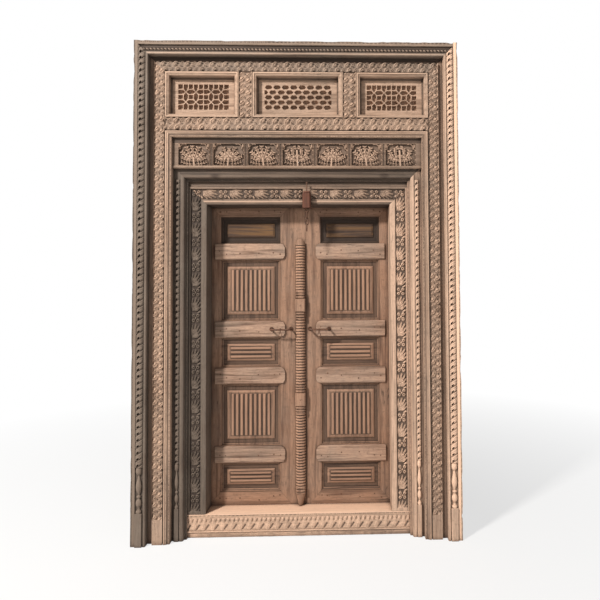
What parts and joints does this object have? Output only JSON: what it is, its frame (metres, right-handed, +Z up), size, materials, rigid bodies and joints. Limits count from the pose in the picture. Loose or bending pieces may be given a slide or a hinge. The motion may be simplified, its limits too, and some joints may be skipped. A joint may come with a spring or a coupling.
{
  "type": "carved double-leaf door with frame",
  "caption": "Tall wooden double door in a stepped carved frame, with lattice transom windows, a flower frieze, ribbed astragal, iron pulls and a latch chain.",
  "frame": {"origin": "on the floor, half way across the width and half way through the depth", "axes": "+Z up, the carved front faces -Y, +X to the right of someone facing the front"},
  "size_m": [1.89, 0.29, 2.9],
  "materials": {
    "frame_wood": "weathered, unpolished, grey-brown to pinkish tan",
    "leaf_wood": "weathered, dull brown with traces of an orange finish",
    "latch_wood": "dull reddish brown",
    "iron": "wrought, dark with rust"
  },
  "bodies": {
    "frame": {"outer_head": "frame_wood", "carved_top_rail": "frame_wood", "carved_lower_rail": "frame_wood", "frieze_board": "frame_wood", "rope_head": "frame_wood", "lintel": "frame_wood", "sill": "frame_wood", "latch_block": "latch_wood", "latch_pin": "iron", "outer_jamb_left": "frame_wood", "carved_jamb_left": "frame_wood", "mullion_left": "frame_wood", "rope_jamb_left": "frame_wood", "rosette_jamb_left": "frame_wood", "window_frame_left": "frame_wood", "lattice_left": "frame_wood", "outer_jamb_right": "frame_wood", "carved_jamb_right": "frame_wood", "mullion_right": "frame_wood", "rope_jamb_right": "frame_wood", "rosette_jamb_right": "frame_wood", "window_frame_right": "frame_wood", "lattice_right": "frame_wood", "window_frame_centre": "frame_wood", "lattice_centre": "frame_wood"},
    "left_leaf": {"left_hanging_stile": "leaf_wood", "left_meeting_stile": "leaf_wood", "left_pull": "iron", "left_bottom_rail": "leaf_wood", "left_bottom_panel": "leaf_wood", "left_lower_rail": "leaf_wood", "left_lower_tall_panel": "leaf_wood", "left_middle_rail": "leaf_wood", "left_handle_panel": "leaf_wood", "left_handle_rail": "leaf_wood", "left_upper_tall_panel": "leaf_wood", "left_upper_rail": "leaf_wood", "left_top_panel": "leaf_wood", "left_top_rail": "leaf_wood", "astragal": "leaf_wood"},
    "right_leaf": {"right_hanging_stile": "leaf_wood", "right_meeting_stile": "leaf_wood", "right_pull": "iron", "right_bottom_rail": "leaf_wood", "right_bottom_panel": "leaf_wood", "right_lower_rail": "leaf_wood", "right_lower_tall_panel": "leaf_wood", "right_middle_rail": "leaf_wood", "right_handle_panel": "leaf_wood", "right_handle_rail": "leaf_wood", "right_upper_tall_panel": "leaf_wood", "right_upper_rail": "leaf_wood", "right_top_panel": "leaf_wood", "right_top_rail": "leaf_wood"},
    "left_pendant": {"left_pendant": "iron"},
    "right_pendant": {"right_pendant": "iron"},
    "chain_link_1": {"chain_link_1": "iron"},
    "chain_link_2": {"chain_link_2": "iron"},
    "chain_link_3": {"chain_link_3": "iron"}
  },
  "joints": [
    {"name": "left_leaf_swing", "type": "hinge", "parent": "frame", "child": "left_leaf", "pos_m": [-0.551, 0.0925, 0.1], "axis": [0, 0, 1], "range_deg": [0, 95]},
    {"name": "right_leaf_swing", "type": "hinge", "parent": "frame", "child": "right_leaf", "pos_m": [0.551, 0.0925, 0.1], "axis": [0, 0, -1], "range_deg": [0, 95]},
    {"name": "left_pendant_swing", "type": "hinge", "parent": "left_leaf", "child": "left_pendant", "pos_m": [-0.117, 0.003, 1.2045], "axis": [1, 0, 0], "range_deg": [-80, 80]},
    {"name": "right_pendant_swing", "type": "hinge", "parent": "right_leaf", "child": "right_pendant", "pos_m": [0.117, 0.003, 1.2045], "axis": [1, 0, 0], "range_deg": [-80, 80]},
    {"name": "chain_swing_1", "type": "hinge", "parent": "frame", "child": "chain_link_1", "pos_m": [0.05, -0.071, 1.909], "axis": [0, 1, 0], "range_deg": [-25, 25]},
    {"name": "chain_swing_2", "type": "hinge", "parent": "chain_link_1", "child": "chain_link_2", "pos_m": [0.05, -0.071, 1.872], "axis": [1, 0, 0], "range_deg": [-25, 25]},
    {"name": "chain_swing_3", "type": "hinge", "parent": "chain_link_2", "child": "chain_link_3", "pos_m": [0.05, -0.071, 1.835], "axis": [0, 1, 0], "range_deg": [-25, 25]}
  ]
}
